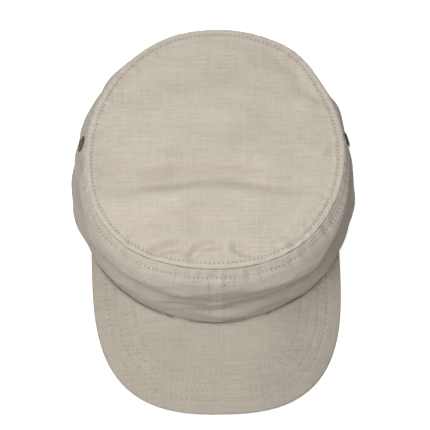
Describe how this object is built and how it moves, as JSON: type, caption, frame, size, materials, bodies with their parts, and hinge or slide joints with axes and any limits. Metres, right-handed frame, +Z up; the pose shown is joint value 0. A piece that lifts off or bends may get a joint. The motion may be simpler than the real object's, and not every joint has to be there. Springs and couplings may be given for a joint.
{
  "type": "patrol cap",
  "caption": "Soft flat-topped cloth cap with a curved stitched peak, two side panels, a seam round the top and vent eyelets.",
  "frame": {"origin": "on the surface that the cap rests on, under the middle of its box", "axes": "+Z up, -Y the way the peak points, +X to the wearer's left"},
  "size_m": [0.1912, 0.2558, 0.0876],
  "materials": {
    "crown_cloth": "stone coloured cotton ripstop, matt, washed",
    "peak_cloth": "stone coloured cotton ripstop over a stiffener, matt, quilted in rows",
    "eyelet_brass": "antique brass, dark, satin"
  },
  "bodies": {
    "root": {"crown_top": "crown_cloth", "crown_side_left": "crown_cloth", "crown_side_right": "crown_cloth", "peak": "peak_cloth", "eyelet_left": "eyelet_brass", "eyelet_right": "eyelet_brass"}
  },
  "joints": []
}
